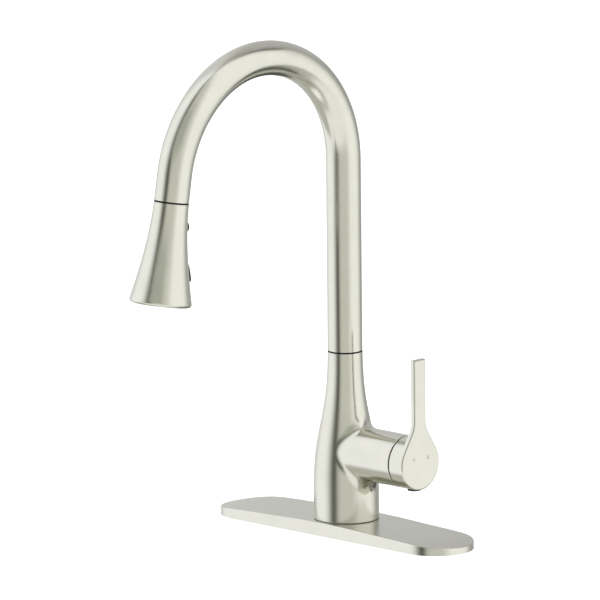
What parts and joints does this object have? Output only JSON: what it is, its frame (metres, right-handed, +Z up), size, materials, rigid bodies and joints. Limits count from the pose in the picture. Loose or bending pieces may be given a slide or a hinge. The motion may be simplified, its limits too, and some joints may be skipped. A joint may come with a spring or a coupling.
{
  "type": "pull-down kitchen faucet",
  "caption": "High-arc single-lever kitchen faucet with a bell-shaped pull-down spray head, tapered body and oval deck plate.",
  "frame": {"origin": "where the column's axis meets the deck plane, on the underside of the deck plate", "axes": "+Z up the column, +X along the deck plate towards the handle, -Y the way the spout reaches"},
  "size_m": [0.252, 0.2559, 0.4688],
  "materials": {
    "brushed_nickel": "brushed nickel plate over brass and zinc",
    "black_plastic": "moulded black acetal",
    "grey_plastic": "moulded grey plastic",
    "white_plastic": "moulded white acetal",
    "brass": "machined brass",
    "copper": "drawn copper tube",
    "steel": "stainless steel",
    "rubber": "black nitrile rubber",
    "grey_rubber": "grey silicone rubber",
    "ceramic": "lapped alumina",
    "hose_braid": "braided nylon hose",
    "cold_ink": "dark fill in an engraved sign"
  },
  "bodies": {
    "faucet_body": {"deck_plate": "brushed_nickel", "plate_liner": "white_plastic", "deck_gasket": "rubber", "base_seal": "rubber", "body_casting": "brushed_nickel", "mounting_shank": "brass", "hot_inlet_stub": "copper", "cold_inlet_stub": "copper", "mixed_outlet_stub": "copper", "cartridge_seals": "rubber", "cartridge_base": "white_plastic", "fixed_ceramic_disc": "ceramic", "cartridge_casing": "white_plastic", "retaining_nut": "brass", "dome_cap": "brushed_nickel", "spout_snap_ring": "steel"},
    "spout": {"spout_tube": "brushed_nickel", "spout_stem": "brass", "swivel_orings": "rubber", "lower_swivel_bush": "white_plastic", "upper_swivel_bush": "white_plastic", "swivel_ring": "black_plastic", "dock_bush": "black_plastic", "spray_hose": "hose_braid", "hose_end_nipple": "brass", "lower_hose_ferrule": "steel"},
    "hose_end": {"upper_hose_ferrule": "steel", "hose_swivel_tail": "brass", "hose_swivel_oring": "rubber"},
    "spray_head": {"head_shell": "brushed_nickel", "head_inlet": "grey_plastic", "hose_nut": "brass", "check_valve_body": "white_plastic", "head_core": "grey_plastic", "flow_manifold": "grey_plastic", "spray_face": "grey_plastic", "nozzle_mat": "grey_rubber", "aerator_housing": "grey_plastic", "aerator_screen": "steel", "rocker_tray": "black_plastic", "rocker_pin": "steel"},
    "check_poppet": {"check_valve_poppet": "white_plastic"},
    "rocker": {"mode_rocker": "black_plastic"},
    "plunger": {"diverter_plunger": "white_plastic"},
    "rotor": {"cartridge_rotor": "white_plastic", "stem_pivot_pin": "steel"},
    "disc": {"moving_ceramic_disc": "ceramic", "disc_carrier": "white_plastic"},
    "handle": {"lever_handle": "brushed_nickel", "cold_mark": "cold_ink", "hot_mark": "cold_ink", "valve_stem": "brass", "handle_set_screw": "steel", "set_screw_plug": "black_plastic"}
  },
  "joints": [
    {"name": "spout_swivel", "type": "hinge", "parent": "faucet_body", "child": "spout", "pos_m": [0, 0, 0.12], "axis": [0, 0, 1], "continuous": true},
    {"name": "head_pull", "type": "slide", "parent": "spout", "child": "hose_end", "axis": [0, -0.1709, -0.9853], "range_m": [0, 0.45], "stiffness_N_per_m": 6, "springref_m": -1, "deforming": ["spray_hose"]},
    {"name": "head_turn", "type": "hinge", "parent": "hose_end", "child": "spray_head", "pos_m": [0, -0.19009, 0.2858], "axis": [0, -0.1709, -0.9853], "continuous": true},
    {"name": "check_valve_lift", "type": "slide", "parent": "spray_head", "child": "check_poppet", "axis": [0, -0.1709, -0.9853], "range_m": [0, 0.001], "stiffness_N_per_m": 200, "springref_m": -0.002},
    {"name": "rocker_tilt", "type": "hinge", "parent": "spray_head", "child": "rocker", "pos_m": [0, -0.18219, 0.25195], "axis": [-1, 0, 0], "range_deg": [0, 3.5]},
    {"name": "plunger_push", "type": "slide", "parent": "spray_head", "child": "plunger", "axis": [0, -0.9853, 0.1709], "range_m": [0, 0.0011]},
    {"name": "handle_turn", "type": "hinge", "parent": "faucet_body", "child": "rotor", "pos_m": [0.04, 0, 0.0643], "axis": [1, 0, 0], "range_deg": [-50, 50]},
    {"name": "handle_lift", "type": "hinge", "parent": "rotor", "child": "handle", "pos_m": [0.039, 0, 0.0643], "axis": [0, 1, 0], "range_deg": [0, 20]},
    {"name": "disc_slide", "type": "slide", "parent": "rotor", "child": "disc", "axis": [0, 0, 1], "range_m": [0, 0.0015]}
  ],
  "couplings": [
    {"joint": "disc_slide", "follows": "handle_lift", "m_per_rad": 0.004017},
    {"joint": "plunger_push", "follows": "rocker_tilt", "m_per_rad": 0.016}
  ]
}
